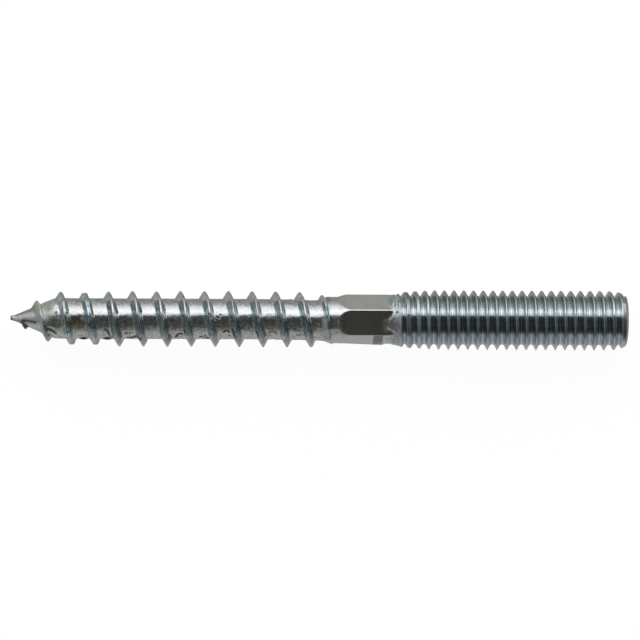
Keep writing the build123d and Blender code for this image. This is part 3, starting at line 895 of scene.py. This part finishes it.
    rough = k.math("MULTIPLY_ADD", mottle, 0.14, 0.10)
    rough = k.math("MULTIPLY_ADD", fine, 0.05, rough)
    rough = k.math("SUBTRACT", rough, mul(stud, 0.07))
    rough = k.math("ADD", rough, mul(point, 0.16))
    rough = k.math("ADD", rough, mul(tip, 0.12))
    rough = k.math("ADD", rough, mul(collar, 0.20))
    rough = k.math("ADD", rough, mul(dark, 0.5))
    rough = k.math("MAXIMUM", rough, 0.08)
    k.link(rough, bsdf.inputs["Roughness"])

    # relief: rolled skin on the shank, faint drawn lines on the flats
    skin = k.math("MULTIPLY_ADD", shank, 0.052, 0.0015)
    h = mul(k.math("SUBTRACT", mottle, 0.5), skin)
    calm = k.math("MULTIPLY_ADD", zone(degrees, -12.0, -2.0, 42.0, 52.0), -0.5, 1.0)
    h = mul(h, calm)
    skin2 = k.math("MULTIPLY_ADD", k.math("ADD", shank, collar, clamp=True), 0.018, 0.0015)
    h = k.math("ADD", h, mul(k.math("SUBTRACT", grain, 0.5), skin2, calm))
    drawn = k.vmath("MULTIPLY", mm, (0.22, 1.0, 1.0))
    h = k.math("ADD", h, mul(k.math("SUBTRACT", k.noise(drawn, 6.0, 2.0, 0.5), 0.5), 0.0008))
    h = k.math("ADD", h, mul(k.math("SUBTRACT", fine, 0.5), 0.0006))
    h = k.math("SUBTRACT", h, mul(dark, 0.02))
    bump = node(k.t, "ShaderNodeBump")
    bump.inputs["Strength"].default_value = 1.0
    bump.inputs["Distance"].default_value = 0.001
    k.link(h, bump.inputs["Height"])
    k.link(bump.outputs["Normal"], bsdf.inputs["Normal"])
    return m


bolt.data.materials.append(zinc())

# ------------------------------------------------------------ floor and light
bpy.context.scene.view_settings.view_transform = "Standard"
bpy.context.scene.view_settings.look = "None"

floor_mesh = bpy.data.meshes.new("floor")
z = -3.9 * MM
g = 3.0
floor_mesh.from_pydata([(-g, -g, z), (g, -g, z), (g, g, z), (-g, g, z)], [], [(0, 1, 2, 3)])
floor = bpy.data.objects.new("floor", floor_mesh)
bpy.context.scene.collection.objects.link(floor)
fm = bpy.data.materials.new("pale_floor")
fm.use_nodes = True
fb = fm.node_tree.nodes["Principled BSDF"]
fb.inputs["Base Color"].default_value = (0.12, 0.12, 0.12, 1)
fb.inputs["Roughness"].default_value = 1.0
fb.inputs["Specular IOR Level"].default_value = 0.0
fb.inputs["Emission Color"].default_value = (1, 1, 1, 1)
fb.inputs["Emission Strength"].default_value = 0.955
floor_mesh.materials.append(fm)
floor.visible_glossy = False

# the studio: a dim ceiling, a soft glow that falls off behind the softbox, grey walls
world = bpy.data.worlds.new("studio")
bpy.context.scene.world = world
world.use_nodes = True
w = Tree(world.node_tree)
tc = node(w.t, "ShaderNodeTexCoord")
sep = node(w.t, "ShaderNodeSeparateXYZ")
w.link(tc.outputs["Generated"], sep.inputs[0])
wx, wy, wz = sep.outputs
turn = w.math("ARCTAN2", wy, wz)
turn = w.math("MULTIPLY_ADD", turn, 0.5 / math.pi, 0.5)
GLOW = [(-180, (.38, .385, .385)), (-160, (.40, .405, .405)), (-132, (.445, .45, .455)), (-100, (.44, .45, .45)),
        (-80, (.43, .445, .435)), (-70, (.40, .415, .40)), (-63, (.31, .322, .31)), (-56, (.21, .217, .208)),
        (-49, .125), (-42, .086), (-34, .072),
        (-26, .066), (-10, (.056, .054, .050)), (6, (.046, .045, .042)),
        (14, (.045, .049, .058)), (20, (.060, .070, .092)), (26, (.095, .105, .13)), (32, .15), (40, .27), (50, .42),
        (62.3, .35), (62.5, 1.30), (66, 1.30), (74, 1.16), (83, .93),
        (93, (.69, .70, .685)), (104, (.48, .49, .47)), (116, (.375, .385, .365)), (129, (.32, .33, .31)),
        (150, (.34, .345, .325)), (170, (.36, .36, .355)), (180, (.38, .385, .385))]
GLOW = [(t, v if isinstance(v, tuple) else (v, v, v)) for t, v in GLOW]
around = w.ramp(turn, [((t + 180) / 360, v) for t, v in GLOW])
half_z = w.math("MULTIPLY_ADD", wz, 0.5, 0.5)
left = w.ramp(half_z, [(0.0, .43), (0.30, .32), (0.42, .27),
                       (0.50, (.11, .135, .14)), (0.65, (.14, .165, .17)), (0.76, (.20, .215, .215)),
                       (0.86, (.20, .215, .215)), (1.0, .05)])
right = w.ramp(half_z, [(0.0, .43), (0.30, .31), (0.42, .25),
                        (0.50, (.07, .085, .095)), (0.65, (.055, .07, .085)), (0.85, (.06, .07, .08)), (1.0, .05)])
side = w.mix(w.smooth(wx, -0.3, 0.3), left, right)
# warm above and behind, cool below
side = w.mix(1.0, side, w.ramp(w.math("MULTIPLY_ADD", wy, 0.5, 0.5),
             [(0.25, (.99, .985, 1.05)), (0.5, (1.0, 1.0, 1.0)), (0.75, (1.0, 1.0, .90))]), "MULTIPLY")
# the softbox's spill along the bolt
spill = w.math("MULTIPLY", w.smooth(turn, (27 + 180) / 360, (36 + 180) / 360), w.smooth(turn, (66 + 180) / 360, (58 + 180) / 360))
side = w.mix(spill, side, (0.78, 0.84, 0.88))
fade = w.smooth(w.math("ABSOLUTE", wx), 0.35, 0.78)
w.link(w.mix(fade, around, side), w.t.nodes["Background"].inputs["Color"])
w.t.nodes["Background"].inputs["Strength"].default_value = 1.0


def area_light(name, target, azimuth_from_z, dist, size_x, size_y, radiance, colour=(1, 1, 1)):
    """A softbox in the plane x = target.x, azimuth_from_z degrees from +Z towards +Y."""
    a = math.radians(azimuth_from_z)
    d = Vector((0, math.sin(a), math.cos(a)))
    ld = bpy.data.lights.new(name, "AREA")
    ld.shape = "RECTANGLE"
    ld.size, ld.size_y = size_x, size_y
    ld.energy = radiance * math.pi * size_x * size_y
    ld.color = colour
    o = bpy.data.objects.new(name, ld)
    o.location = Vector(target) + d * dist
    xaxis = Vector((1, 0, 0))
    zaxis = d
    yaxis = zaxis.cross(xaxis)
    o.matrix_world = Matrix.Translation(o.location) @ Matrix((xaxis, yaxis, zaxis)).transposed().to_4x4()
    o.visible_camera = False
    bpy.context.scene.collection.objects.link(o)
    return o


mid = Vector(((TIP + END) / 2 * MM, 0, 0))
area_light("softbox", mid, 46.6, 0.60, 0.95, 0.340, 1.18, (0.985, 1.0, 1.015))

# -------------------------------------------------------------------- camera
cam_data = bpy.data.cameras.new("camera")
cam = bpy.data.objects.new("camera", cam_data)
bpy.context.scene.collection.objects.link(cam)
bpy.context.scene.camera = cam
cam_data.sensor_width = 36.0
DIST = 505.0
cam_data.lens = 36.0 * DIST / 82.37
YAW, ROLL = 2.2, 0.26
ly, lz = math.sin(math.radians(LEAN)), math.cos(math.radians(LEAN))
across = Vector((1, 0, 0))
upward = Vector((0, lz, -ly))
towards = Vector((0, ly, lz))
back = (towards * math.cos(math.radians(YAW)) - across * math.sin(math.radians(YAW))).normalized()
right = (across * math.cos(math.radians(YAW)) + towards * math.sin(math.radians(YAW))).normalized()
up = back.cross(right).normalized()
q = math.radians(ROLL)
right_r = right * math.cos(q) + up * math.sin(q)
up_r = up * math.cos(q) - right * math.sin(q)
target = Vector((-15.25, 0, 0)) + up * -0.065
cam.matrix_world = (
    Matrix.Translation((target + back * DIST) * MM)
    @ Matrix((right_r, up_r, back)).transposed().to_4x4()
)
cam_data.clip_start, cam_data.clip_end = 0.02, 20.0
